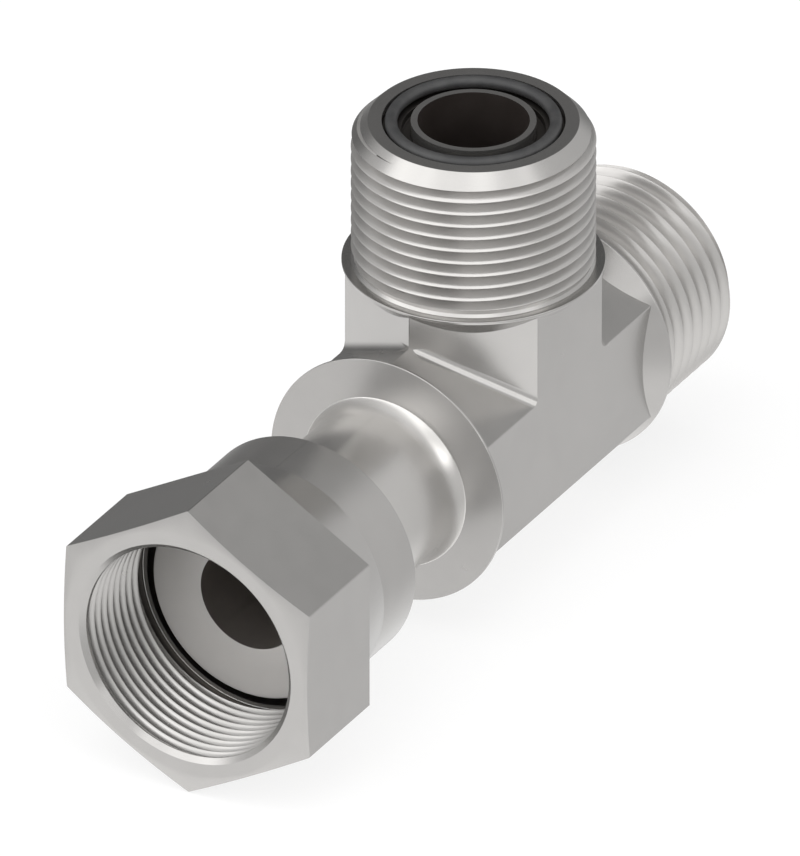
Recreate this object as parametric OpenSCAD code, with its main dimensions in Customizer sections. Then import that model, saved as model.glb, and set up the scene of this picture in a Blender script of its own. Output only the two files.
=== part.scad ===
// Run tee with two male face seal ends and one swivel nut end.
// Origin where the run axis and the branch axis cross: X along the run, Z up the branch.
// The swivel nut is at -X. Millimetres.

/* [Male ends] */
// Distance from the centre of the tee to the face of each male end
end_reach = 48.5; // [46:0.5:60]
// Major diameter of the straight thread on the branch
thread_d = 36.3; // [35.4:0.1:37.4]
// Major diameter of the straight thread on the rear run end
run_thread_d = 35.7; // [35.4:0.1:37.4]
// Width of the 45 degree chamfer at the start of the branch's thread
thread_chamfer = 2.5; // [1.5:0.1:3]
// How far the plain land between the thread and its collar lies below the thread
land_drop = 0.75; // [0.4:0.05:1.5]
// Length of the plain land between the thread and its collar
land_w = 1.1; // [0.6:0.1:2]
// Radius in the corner between the plain land and its collar
land_fillet = 0.4; // [0.2:0.1:0.6]
// Bore of the passages
bore_d = 16.6; // [12:0.1:17]

/* [Seal grooves] */
// Section of the seal ring
ring_section = 1.9; // [1.6:0.05:2]
// Mean diameter of the seal ring
ring_d = 24.4; // [24:0.1:25]
// Depth of the ring groove
groove_depth = 1.35; // [1.1:0.05:1.5]
// Room in the groove outside the ring
groove_room = 0.45; // [0.2:0.05:0.8]
// Thickness of the thin lip around the bore
lip_w = 1; // [0.8:0.05:1.4]
// Width of the deeper pocket beside the lip
pocket_w = 1.35; // [1:0.05:1.6]
// Depth of the deeper pocket
pocket_depth = 2.4; // [1.8:0.1:3]

/* [Threads] */
// Pitch of the thread on the branch
branch_pitch = 2.08; // [1.8:0.01:2.3]
// Pitch of the thread on the rear run end
run_pitch = 2.77; // [1.8:0.01:2.9]
// Pitch of the thread in the nut
nut_pitch = 1.785; // [1.6:0.005:2.2]
// Width of the flat on the crests of the threads
crest_flat = 0.1; // [0.05:0.01:0.2]

/* [Body] */
// Width across the flats of the hexagonal arms
body_af = 33; // [30:0.5:33.5]
// Radius in the creases where the arms meet
crease_r = 1.6; // [0.8:0.1:2]
// Diameter of the collar under each male thread
collar_d = 39.1; // [38.8:0.1:42]
// Distance from the centre to the shoulder of those collars
collar_at = 25.2; // [24:0.1:28]
// Thickness of the rim of each collar
rim_w = 0.4; // [0.2:0.1:1]

/* [Tail] */
// Diameter of the collar at the root of the tail
tail_collar_d = 39.6; // [38.8:0.1:42]
// Distance from the centre to the rim of that collar
tail_collar_at = 25.6; // [24:0.1:28]
// How far the collar's face stands out at the tail
tail_face_rise = 0.7; // [0.2:0.1:1.2]
// Diameter of the tail that the nut turns on
tail_d = 25.4; // [24.6:0.1:26]
// How far the tail flares out where it meets its collar
tail_flare_w = 1.1; // [0.6:0.1:1.5]
// Radius of that flare
tail_flare_r = 6; // [2:0.5:8]
// How far the spigot at the end of the tail is stepped down from the tail
spigot_step = 2.2; // [1.7:0.1:2.6]
// Length of the spigot
spigot_len = 2.2; // [1.6:0.1:2.6]

/* [Seal sleeve] */
// Distance from the centre of the tee to the sleeve's sealing face
sleeve_reach = 65.8; // [62:0.1:72]
// How far the sleeve stands out around the tail, which holds the nut on
sleeve_flange = 3.75; // [3:0.05:4.2]
// Thickness of the sleeve
sleeve_w = 3.5; // [3.2:0.1:4.5]
// Chamfer on the edges of the sealing face
sleeve_edge = 0.25; // [0.1:0.05:0.5]

/* [Swivel nut] */
// Minor diameter of the nut's thread
nut_minor_d = 34.4; // [33.9:0.1:34.8]
// Depth of the relief behind the thread, below its minor diameter
relief_depth = 1.4; // [1:0.05:1.6]
// Wall of the nut between the relief and the flats of its hexagon
nut_wall = 2.05; // [1.5:0.05:3]
// How far the nut's front stands out past the sealing face
socket_depth = 18.85; // [16:0.05:24]
// Length of the hexagon
nut_hex_w = 18.4; // [14:0.1:20]
// How far the edge of the flat on the nut's front lies inside its hexagon
washer_face_in = 0.7; // [0.3:0.05:1.3]
// Slope of the chamfer on the corners of the hexagon
hex_chamfer_angle = 14; // [10:1:30]
// How far the shoulder starts inside the hexagon
shoulder_in = 0.35; // [0.3:0.05:0.8]
// Wall of the round hub around the tail
hub_wall = 5.5; // [5.2:0.1:6.2]
// Length of the sloping shoulder
shoulder_w = 8.3; // [6:0.1:10]
// Length of the round hub behind the shoulder
hub_w = 9.7; // [4:0.1:12]
// Chamfer on the back edge of the hub
hub_edge = 0.5; // [0.2:0.1:1]
// Width of the 45 degree countersink in front of the thread
countersink = 0.8; // [0.5:0.05:1.4]
// Length of the thread, with its countersink
nut_thread_w = 16.9; // [14:0.1:17.2]
// Length of the relief behind the thread
relief_w = 2.6; // [2:0.1:3]
// Room in the nut around the sleeve
chamber_room = 1.4; // [1:0.05:1.5]

/* [Fits] */
// Radial clearance of the nut on the tail
swivel_gap = 0.08; // [0.05:0.01:0.1]
// Axial clearance between the sleeve and the nut's shoulder
end_play = 0.3; // [0.3:0.05:0.6]
// Radial clearance of the sleeve on the spigot, filled by the braze
braze_gap = 0.05; // [0.02:0.01:0.1]
// Clearance between a seal ring and the floor of its groove
ring_gap = 0.02; // [0.01:0.01:0.05]

/* [Hidden] */
$fn = 96;

plated_steel = "#b4b1ab";
nut_steel = "#a9a7a2";
sleeve_steel = "#bdb8b0";
rubber = "#4b4c4e";

// How far a cutting tool reaches past the surface that it cuts
past = 1;
thread_r = thread_d / 2;
run_thread_r = run_thread_d / 2;
// Outer edge of the flat face of both male ends
face_r = thread_r - thread_chamfer;
collar_r = collar_d / 2;
tail_r = tail_d / 2;
tail_collar_r = tail_collar_d / 2;
body_corner_r = body_af / sqrt(3);
// The underside of a collar is a 45 degree cone that starts inside the hexagonal arm
cone_root_in = 2;
cone_root_r = body_af / 2 - cone_root_in;
tail_flare_len = sqrt(tail_flare_r ^ 2 - (tail_flare_r - tail_flare_w) ^ 2);
neck_end = sleeve_reach - sleeve_w;
spigot_end = neck_end + spigot_len;
spigot_r = tail_r - spigot_step;
sleeve_r = tail_r + sleeve_flange;
lip_r = bore_d / 2 + lip_w;
groove_r = (ring_d + ring_section) / 2 + groove_room;
ring_floor = end_reach - groove_depth;
// Where the male threads start
thread_from = collar_at + land_w + land_drop;
nut_front = sleeve_reach + socket_depth;
hex_back = nut_front - nut_hex_w;
hub_front = hex_back - shoulder_w;
nut_back = hub_front - hub_w;
nut_bore_r = tail_r + swivel_gap;
nut_minor_r = nut_minor_d / 2;
relief_r = nut_minor_r + relief_depth;
nut_flat_r = relief_r + nut_wall;
nut_corner_r = nut_flat_r * 2 / sqrt(3);
washer_face_r = nut_flat_r - washer_face_in;
shoulder_r = nut_flat_r - shoulder_in;
hub_r = nut_bore_r + hub_wall;
chamber_r = sleeve_r + chamber_room;
relief_front = nut_front - nut_thread_w;
chamber_end = neck_end - end_play;
// Half the open angle of a crease, and its lean, both set by two regular hexagons
crease_half = atan(sqrt(5 / 3));
crease_tilt = atan(sqrt(3 / 2));

// Turns its children, drawn up +Z, to point along the run towards the rear male end
module along_run() {
    rotate([0, 90, 0]) children();
}

// Turns its children, drawn up +Z, to point along the run towards the swivel nut
module along_tail() {
    rotate([0, -90, 0]) children();
}

// Concave corner piece of radius r, with its corner at the origin and its sides along +X and +Y
module corner_fillet(r) {
    difference() {
        square(r);
        translate([r, r]) circle(r);
    }
}

// Depth of a 60 degree V groove that leaves the flat of the crest between two turns
function thread_depth(pitch) = (pitch - crest_flat) * sqrt(3) / 2;

// One V groove of a thread in half section: its point at -X, its mouth level with the crests
module v_groove(pitch) {
    half = (pitch - crest_flat) / 2;
    polygon([
        [-thread_depth(pitch), 0],
        [0, -half],
        [past, -half],
        [past, half],
        [0, half]
    ]);
}

// Grooves of a male thread in half section, as rings in place of the helix, out to its chamfer
module male_grooves(crest_r, pitch) {
    chamfer_at = end_reach - crest_r + face_r;
    last = floor((chamfer_at + thread_depth(pitch) - thread_from) / pitch);
    for (turn = [0:last])
        translate([crest_r, thread_from + turn * pitch]) v_groove(pitch);
}

// Grooves of the nut's thread in half section, as rings in place of the helix
module nut_grooves() {
    last = floor(nut_thread_w / nut_pitch);
    for (turn = [1:last])
        translate([nut_minor_r, nut_front - turn * nut_pitch]) mirror([1, 0]) v_groove(nut_pitch);
}

// Collar profile: a 45 degree underside, then the rim, up to the shoulder
module collar_profile(r, shoulder) {
    drop = r - cone_root_r;
    polygon([
        [0, shoulder - rim_w - drop],
        [cone_root_r, shoulder - rim_w - drop],
        [r, shoulder - rim_w],
        [r, shoulder],
        [0, shoulder]
    ]);
}

// Male end seen in half section: land, thread and start chamfer
module male_end_profile(crest_r, pitch) {
    land_r = crest_r - land_drop;
    difference() {
        polygon([
            [0, collar_at - rim_w],
            [land_r, collar_at - rim_w],
            [land_r, thread_from - land_drop],
            [crest_r, thread_from],
            [crest_r, end_reach - crest_r + face_r],
            [face_r, end_reach],
            [0, end_reach]
        ]);
        male_grooves(crest_r, pitch);
    }
    translate([land_r, collar_at]) corner_fillet(land_fillet);
}

// One hexagonal arm with its collar and threaded end, drawn up +Z from the centre
module male_arm(crest_r, pitch) {
    cylinder(r = body_corner_r, h = collar_at - rim_w, $fn = 6);
    rotate_extrude() collar_profile(collar_r, collar_at);
    rotate_extrude() male_end_profile(crest_r, pitch);
}

// Corner between the tail and its collar in half section: an arc that runs out along the tail
module tail_flare() {
    difference() {
        square([tail_flare_w, tail_flare_len]);
        translate([tail_flare_r, tail_flare_len]) circle(tail_flare_r);
    }
}

// Tail seen in half section: sloping collar face, flare, round tail and spigot
module tail_profile() {
    polygon([
        [0, tail_collar_at - rim_w],
        [tail_collar_r, tail_collar_at - rim_w],
        [tail_collar_r, tail_collar_at],
        [tail_r + tail_flare_w, tail_collar_at + tail_face_rise],
        [tail_r, tail_collar_at + tail_face_rise],
        [tail_r, neck_end],
        [spigot_r, neck_end],
        [spigot_r, spigot_end],
        [0, spigot_end]
    ]);
    translate([tail_r, tail_collar_at + tail_face_rise]) tail_flare();
}

// The arm that carries the swivel nut, drawn up +Z from the centre
module tail_arm() {
    cylinder(r = body_corner_r, h = tail_collar_at - rim_w, $fn = 6);
    rotate_extrude() collar_profile(tail_collar_r, tail_collar_at);
    rotate_extrude() tail_profile();
}

// Filler bar for one crease: a corner piece between the two flats, up to their common tangent arc
module crease_section() {
    tangent = crease_r / tan(crease_half);
    difference() {
        polygon([
            [0, crease_r / 4],
            [-tangent * sin(crease_half), -tangent * cos(crease_half)],
            [tangent * sin(crease_half), -tangent * cos(crease_half)]
        ]);
        translate([0, -crease_r / sin(crease_half)]) circle(crease_r);
    }
}

// Rounded crease on one side of the branch, mitred at the middle and flush with the side flats
module crease() {
    run_out = body_corner_r * sqrt(5) / 2 + crease_r;
    intersection() {
        translate([-body_corner_r, 0, body_corner_r])
            rotate([0, -45, 0])
                rotate([-crease_tilt, 0, 0])
                    translate([0, 0, -run_out])
                        linear_extrude(run_out + crease_r * 2) crease_section();
        translate([-body_af, -body_af / 2, 0])
            cube([body_af, body_af / 2, body_af]);
    }
}

// Ring groove of a male face, with the deeper pocket beside the lip
module face_groove() {
    rotate_extrude() {
        translate([lip_r, ring_floor])
            square([groove_r - lip_r, groove_depth + past]);
        translate([lip_r, end_reach - pocket_depth])
            square([pocket_w, pocket_depth + past]);
    }
}

module tee_body() {
    color(plated_steel) difference() {
        union() {
            male_arm(thread_r, branch_pitch);
            along_run() male_arm(run_thread_r, run_pitch);
            along_tail() tail_arm();
            for (front = [0, 1], side = [0, 1])
                mirror([front, 0, 0]) mirror([0, side, 0]) crease();
        }
        face_groove();
        along_run() face_groove();
        cylinder(d = bore_d, h = end_reach + past);
        along_run() cylinder(d = bore_d, h = end_reach + past);
        along_tail() cylinder(d = bore_d, h = spigot_end + past);
    }
}

// Flanged sleeve on the end of the tail: its flat face seals, and its back holds the nut
module seal_sleeve() {
    color(sleeve_steel) along_tail() rotate_extrude() polygon([
        [spigot_r + braze_gap, neck_end],
        [sleeve_r, neck_end],
        [sleeve_r, sleeve_reach - sleeve_edge],
        [sleeve_r - sleeve_edge, sleeve_reach],
        [bore_d / 2 + sleeve_edge, sleeve_reach],
        [bore_d / 2, sleeve_reach - sleeve_edge],
        [bore_d / 2, spigot_end],
        [spigot_r + braze_gap, spigot_end]
    ]);
}

// Hexagon of the nut with its front corners chamfered, drawn up +Z
module nut_hexagon() {
    corner_drop = (nut_corner_r + past - washer_face_r) * tan(hex_chamfer_angle);
    intersection() {
        translate([0, 0, hex_back]) cylinder(r = nut_corner_r, h = nut_hex_w, $fn = 6);
        rotate_extrude() polygon([
            [0, hex_back - past],
            [nut_corner_r + past, hex_back - past],
            [nut_corner_r + past, nut_front - corner_drop],
            [washer_face_r, nut_front],
            [0, nut_front]
        ]);
    }
}

// Sloping shoulder and round hub behind the hexagon, drawn up +Z
module nut_hub() {
    rotate_extrude() polygon([
        [0, nut_back],
        [hub_r - hub_edge, nut_back],
        [hub_r, nut_back + hub_edge],
        [hub_r, hub_front],
        [shoulder_r, hex_back],
        [shoulder_r, hex_back + past],
        [0, hex_back + past]
    ]);
}

// What is bored out of the nut, drawn up +Z
module nut_inside() {
    rotate_extrude() {
        polygon([
            [0, nut_back - past],
            [nut_bore_r, nut_back - past],
            [nut_bore_r, chamber_end],
            [chamber_r, chamber_end],
            [chamber_r, relief_front - relief_w],
            [relief_r, relief_front - relief_w],
            [relief_r, relief_front],
            [nut_minor_r, relief_front],
            [nut_minor_r, nut_front - countersink],
            [nut_minor_r + countersink, nut_front],
            [nut_minor_r + countersink, nut_front + past],
            [0, nut_front + past]
        ]);
        nut_grooves();
    }
}

module swivel_nut() {
    color(nut_steel) along_tail() difference() {
        union() {
            nut_hexagon();
            nut_hub();
        }
        nut_inside();
    }
}

// Seal ring lying in the groove of a male face, drawn up +Z
module o_ring() {
    translate([0, 0, ring_floor + ring_section / 2 + ring_gap])
        rotate_extrude() translate([ring_d / 2, 0]) circle(d = ring_section, $fn = 32);
}

module branch_o_ring() {
    color(rubber) o_ring();
}

module run_o_ring() {
    color(rubber) along_run() o_ring();
}

tee_body();
seal_sleeve();
swivel_nut();
branch_o_ring();
run_o_ring();
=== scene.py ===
"""Looks of a run tee with two male face seal ends and one swivel nut end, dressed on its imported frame."""

import logging
import math
from collections.abc import Callable, Sequence
from dataclasses import dataclass, field
from enum import Enum

import bmesh
import bpy
from mathutils import Matrix, Vector


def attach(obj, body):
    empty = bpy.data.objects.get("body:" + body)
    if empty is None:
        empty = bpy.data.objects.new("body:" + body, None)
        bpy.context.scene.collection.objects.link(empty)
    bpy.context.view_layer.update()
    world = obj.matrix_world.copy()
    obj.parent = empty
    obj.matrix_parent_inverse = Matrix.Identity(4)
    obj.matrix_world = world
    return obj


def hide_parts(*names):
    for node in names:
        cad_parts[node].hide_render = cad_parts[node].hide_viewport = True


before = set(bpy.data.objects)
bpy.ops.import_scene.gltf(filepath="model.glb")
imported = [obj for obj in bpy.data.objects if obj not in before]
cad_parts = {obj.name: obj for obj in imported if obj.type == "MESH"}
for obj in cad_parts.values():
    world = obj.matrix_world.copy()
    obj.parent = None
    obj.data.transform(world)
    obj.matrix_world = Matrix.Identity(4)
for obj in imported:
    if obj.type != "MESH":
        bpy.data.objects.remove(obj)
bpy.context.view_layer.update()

LOG = logging.getLogger("scene")

# Metres in a millimetre: shapes are drawn in millimetres and scaled once, when a piece is finished.
MM = 0.001
SEGMENTS = 192
THREAD_SEGMENTS = 200
FLANK_STEPS = 5
TORUS_STEPS = 40
ARC_STEPS = 4
# Dihedral angle above which an edge is shaded sharp.
SHARP_DEGREES = 28.0
# Angle between two faces that still count as one flat face.
FLAT_DEGREES = 0.05
# Points closer than this are merged.
MERGE = 0.0005
# A point of an outline nearer to the axis than this lies on it.
ON_AXIS = 1e-6
# How far a cutting solid reaches past what it cuts.
PAST = 1.0
# How far a corner may lie off a size and still count as on it, where faces are told apart.
NEAR = 0.01
# Least share of a face's normal along an axis, where the face is square to it or on a cone.
SQUARE_ON = 0.9
ON_CONE = 0.6

# Leading sizes of the part, the same as in its construction.
END_REACH = 48.5
BORE_R = 8.3
THREAD_R = 18.15
BODY_AF = 33.0
COLLAR_AT = 25.2
COLLAR_R = 19.55
RIM_W = 0.4
CONE_ROOT_R = BODY_AF / 2 - 2.0
TAIL_R = 12.7
TAIL_COLLAR_R = 19.8
TAIL_COLLAR_AT = 25.6
# How far the tail collar's face comes forward from its rim to the neck.
FACE_RISE = 0.7
NECK_END = 62.3
SPIGOT_R = 10.5
SPIGOT_END = 64.5
SLEEVE_FACE = 65.8
SLEEVE_R = 16.45
NUT_FRONT = 84.65
HEX_BACK = 66.25
HUB_FRONT = 57.95
NUT_BACK = 48.25
NUT_FLAT_R = 20.65
NUT_MINOR_R = 17.2
# The seal groove of a male face, and the deeper pocket between its ring and the bore's lip.
LIP_R = BORE_R + 1
GROOVE_R = 13.6
GROOVE_DEEP = 1.35
POCKET_W = 1.35
POCKET_DEEP = 2.4
WHITE = (1.0, 1.0, 1.0, 1.0)

Profile = list[tuple[float, float]]


class Arm(Enum):
    """The three arms of the tee, by the turn about Y that lays +Z along the arm."""

    BRANCH = 0.0
    RUN = 90.0
    TAIL = -90.0

    @property
    def turn(self) -> Matrix:
        """Rotation that lays a shape drawn up +Z along the arm."""
        return Matrix.Rotation(math.radians(self.value), 4, "Y")


class Cut(Enum):
    """How two solids are combined."""

    JOIN = "UNION"
    TAKE = "DIFFERENCE"
    KEEP = "INTERSECT"


@dataclass(frozen=True)
class Corner:
    """A corner of a flat outline in millimetres, and the radius that rounds it."""

    x: float
    y: float
    radius: float = 0.0


@dataclass(frozen=True)
class Thread:
    """A right-hand thread drawn up +Z, as a rod that follows its crests and roots.

    A flank rises straight from the root and then bends over to a blunter crest. The depth fades
    to nothing at both ends, so that the last groove runs out like a tool mark.

    Attributes:
        root_at: Height of a root at the start of a turn.
        low, high: Heights between which the groove has any depth.
        fade_low, fade_high: Lengths over which the depth fades.
        inward: 1 where the roots lie inside the crests, as on a male thread, and -1 in a nut.
        straight_share: Share of half the pitch over which the flank rises straight.
        root_share: Share of half the pitch that counts as the bottom of the groove.
    """

    pitch: float
    crest_r: float
    root_at: float
    low: float
    high: float
    fade_low: float
    fade_high: float
    inward: float = 1.0
    flank_degrees: float = 59.0
    crest_degrees: float = 45.0
    straight_share: float = 0.6
    root_share: float = 0.1
    root_near: float = 0.02

    def flank(self) -> list[tuple[float, float]]:
        """Gives one flank, from the root to the crest.

        Returns:
            Points (height above the root, rise from the root) in millimetres.
        """
        half = self.pitch / 2
        steep = math.tan(math.radians(self.flank_degrees))
        shares = (0.0, self.root_share, self.straight_share)
        points = [(half * share, half * share * steep) for share in shares]
        height, rise = points[-1]
        step = (half - height) / FLANK_STEPS
        bend = (self.flank_degrees - self.crest_degrees) / FLANK_STEPS
        for index in range(FLANK_STEPS):
            height += step
            rise += step * math.tan(math.radians(self.flank_degrees - bend * (index + 0.5)))
            points.append((height, rise))
        return points

    def section(self) -> list[tuple[float, float]]:
        """Gives one pitch of the thread from root to root.

        Returns:
            Points (height above the root, depth below the crest) in millimetres.
        """
        points = self.flank()
        high = points[-1][1]
        rising = [(at, high - rise) for at, rise in points]
        return rising + [(self.pitch - at, depth) for at, depth in reversed(rising[1:-1])]

    def in_root(self, radius: float) -> bool:
        """Tells whether a point at this distance from the axis lies at the bottom of the groove."""
        points = self.flank()
        root_r = self.crest_r - self.inward * points[-1][1]
        return abs(radius - root_r) < points[1][1] + self.root_near


@dataclass(frozen=True)
class MetalFinish:
    """Numbers of a plated or bare metal surface; colours are linear, the grain's height in metres."""

    name: str
    light: tuple[float, float, float]
    dark: tuple[float, float, float]
    roughness: float
    roughness_spread: float = 0.03
    grain_scale: float = 500.0
    grain_height: float = 0.000006
    turning_axis: str = "X"
    metallic: float = 1.0


@dataclass(frozen=True)
class RubberFinish:
    """Numbers of a moulded rubber surface; colours are linear, the grain's height in metres."""

    name: str
    light: tuple[float, float, float]
    dark: tuple[float, float, float]
    roughness: float
    grain_scale: float
    grain_height: float


Finish = MetalFinish | RubberFinish

PLATE_LIGHT = (0.475, 0.465, 0.452)
PLATE_DARK = (0.445, 0.436, 0.424)
# Dark copy of the plating, painted as the shade at the bottom of the thread grooves.
ROOT_SHADE_LIGHT = (0.16, 0.150, 0.140)
ROOT_SHADE_DARK = (0.11, 0.103, 0.096)
# Lighter copies of the plating, painted light on the thread flanks to brighten them.
LIT_THREAD_LIGHT = (0.53, 0.518, 0.503)
LIT_THREAD_DARK = (0.50, 0.489, 0.474)
# Lighter copies of the plating, painted light on the tail's neck.
LIT_NECK_LIGHT = (0.60, 0.587, 0.570)
LIT_NECK_DARK = (0.57, 0.558, 0.541)
PLATED_FLAT = MetalFinish(
    "plated_flat", PLATE_LIGHT, PLATE_DARK, roughness=0.26, grain_scale=400.0, grain_height=0.0000015,
    turning_axis="", metallic=0.86,
)
PLATED_RUN = MetalFinish("plated_run", PLATE_LIGHT, PLATE_DARK, roughness=0.24, metallic=0.82)
PLATED_BRANCH = MetalFinish(
    "plated_branch", PLATE_LIGHT, PLATE_DARK, roughness=0.24, turning_axis="Z", metallic=0.90
)
# Painted light: the neck gets a lighter copy of the plating, which stands in for the wide highlight on its
# top.
TURNED_NECK_LIT = MetalFinish("turned_neck_painted_light", LIT_NECK_LIGHT, LIT_NECK_DARK, roughness=0.26, metallic=0.85)
TURNED_FACE = MetalFinish("turned_face", PLATE_LIGHT, PLATE_DARK, roughness=0.26, metallic=0.6)
NUT_THREAD = MetalFinish(
    "nut_thread", PLATE_LIGHT, PLATE_DARK, roughness=0.26, grain_height=0.000004, metallic=0.7
)
# Painted light: the thread flanks get a lighter copy of the plating.
THREAD_RUN_LIT = MetalFinish(
    "thread_run_painted_light", LIT_THREAD_LIGHT, LIT_THREAD_DARK, roughness=0.24, roughness_spread=0.02,
    grain_height=0.000004, metallic=0.6,
)
THREAD_BRANCH_LIT = MetalFinish(
    "thread_branch_painted_light", LIT_THREAD_LIGHT, LIT_THREAD_DARK, roughness=0.22, roughness_spread=0.02,
    grain_height=0.000004, turning_axis="Z", metallic=0.62,
)
# Painted shade: the faces at the bottom of each thread groove get this dark finish.
THREAD_ROOT_SHADE = MetalFinish(
    "thread_root_painted_shade", ROOT_SHADE_LIGHT, ROOT_SHADE_DARK, roughness=0.35, roughness_spread=0.05,
    grain_height=0.000004, turning_axis="",
)
# Painted light: a far lighter plating on the sleeve, which stands in for light on its face deep inside the
# nut.
SLEEVE_PAINTED_LIGHT = MetalFinish(
    "sleeve_plate_painted_light", (0.90, 0.878, 0.852), (0.86, 0.839, 0.815), roughness=0.30, metallic=0.35
)
BORE_STEEL = MetalFinish(
    "bore_steel", (0.36, 0.325, 0.300), (0.29, 0.262, 0.241), roughness=0.35, roughness_spread=0.08,
    grain_height=0.00001, metallic=0.55,
)
# Painted shade: a near-black copy of the bore steel for the bores deep inside the body.
DEEP_BORE_SHADE = MetalFinish(
    "deep_bore_painted_shade", (0.060, 0.049, 0.045), (0.044, 0.036, 0.032), roughness=0.40,
    roughness_spread=0.08, grain_height=0.00001, metallic=0.5,
)
# Painted shade: a dark finish on the seal grooves and their pockets, and on the nut's relief and chamber,
# where shade falls.
RECESS_SHADE = MetalFinish(
    "recess_painted_shade", (0.13, 0.120, 0.111), (0.09, 0.083, 0.077), roughness=0.40,
    roughness_spread=0.05, grain_height=0.00001,
)
SEAL_RUBBER = RubberFinish(
    "seal_rubber_surface", (0.052, 0.052, 0.052), (0.036, 0.036, 0.037), roughness=0.50,
    grain_scale=1500.0, grain_height=0.00002,
)


def soften(corners: Sequence[Corner]) -> Profile:
    """Turns a closed outline with rounded corners into points.

    Args:
        corners: The outline's corners in order.

    Returns:
        The outline's points, with each radius as a short run of points.
    """
    points: Profile = []
    for index, corner in enumerate(corners):
        here = Vector((corner.x, corner.y))
        if corner.radius <= 0:
            points.append((here.x, here.y))
            continue
        before, after = corners[index - 1], corners[(index + 1) % len(corners)]
        to_before = Vector((before.x, before.y)) - here
        to_after = Vector((after.x, after.y)) - here
        half = to_before.angle(to_after) / 2
        reach = corner.radius / math.tan(half)
        centre = here + (to_before.normalized() + to_after.normalized()).normalized() * (
            corner.radius / math.sin(half)
        )
        first = here + to_before.normalized() * reach - centre
        last = here + to_after.normalized() * reach - centre
        for step in range(ARC_STEPS + 1):
            spoke = first.lerp(last, step / ARC_STEPS).normalized() * corner.radius
            points.append((centre.x + spoke.x, centre.y + spoke.y))
    return points


def solid(mesh: bmesh.types.BMesh, name: str, turn: Matrix) -> bpy.types.Object:
    """Makes an object of a closed mesh.

    Args:
        mesh: The closed mesh in millimetres, freed here.
        name: Name of the object.
        turn: Where the mesh is laid.

    Returns:
        The linked object.
    """
    bmesh.ops.recalc_face_normals(mesh, faces=mesh.faces)
    data = bpy.data.meshes.new(name)
    mesh.to_mesh(data)
    mesh.free()
    data.transform(turn)
    made = bpy.data.objects.new(name, data)
    bpy.context.scene.collection.objects.link(made)
    return made


def revolve(name: str, outline: Profile, arm: Arm, segments: int = SEGMENTS) -> bpy.types.Object:
    """Turns a closed half outline about an arm's axis.

    Args:
        name: Name of the object.
        outline: Points (radius, height) in millimetres; those at radius 0 lie on the axis.
        arm: The arm that the height runs along.
        segments: Number of steps round the axis.

    Returns:
        The solid of revolution.
    """
    mesh = bmesh.new()
    rings: list[list[bmesh.types.BMVert]] = []
    for radius, height in outline:
        if radius < ON_AXIS:
            rings.append([mesh.verts.new((0, 0, height))])
            continue
        rings.append([
            mesh.verts.new((
                radius * math.cos(2 * math.pi * step / segments),
                radius * math.sin(2 * math.pi * step / segments),
                height,
            ))
            for step in range(segments)
        ])
    for ring, following in zip(rings, rings[1:] + rings[:1]):
        if len(ring) == 1 and len(following) == 1:
            continue
        for step in range(segments):
            after = (step + 1) % segments
            face = [ring[step % len(ring)], ring[after % len(ring)]]
            face += [following[after % len(following)], following[step % len(following)]]
            mesh.faces.new(list(dict.fromkeys(face)))
    return solid(mesh, name, arm.turn)


def prism(name: str, outline: Profile, low: float, high: float, turn: Matrix) -> bpy.types.Object:
    """Draws a closed flat outline up from one height to another.

    Args:
        name: Name of the object.
        outline: Points of the outline in millimetres.
        low: Height of the bottom.
        high: Height of the top.
        turn: Where the prism is laid.

    Returns:
        The prism.
    """
    mesh = bmesh.new()
    bottom = [mesh.verts.new((x, y, low)) for x, y in outline]
    top = [mesh.verts.new((x, y, high)) for x, y in outline]
    mesh.faces.new(bottom)
    mesh.faces.new(top)
    for index in range(len(outline)):
        after = (index + 1) % len(outline)
        mesh.faces.new((bottom[index], bottom[after], top[after], top[index]))
    return solid(mesh, name, turn)


def hexagon(flat_radius: float, edge_radius: float) -> Profile:
    """Hexagon with rounded corners, one of them on +X."""
    corner = flat_radius * 2 / math.sqrt(3)
    return soften([
        Corner(
            corner * math.cos(math.pi * step / 3), corner * math.sin(math.pi * step / 3), edge_radius
        )
        for step in range(6)
    ])


def ramp(value: float, low: float, high: float) -> float:
    """Smooth step from 0 at low to 1 at high."""
    share = min(max((value - low) / (high - low), 0.0), 1.0)
    return share * share * (3 - 2 * share)


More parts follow.
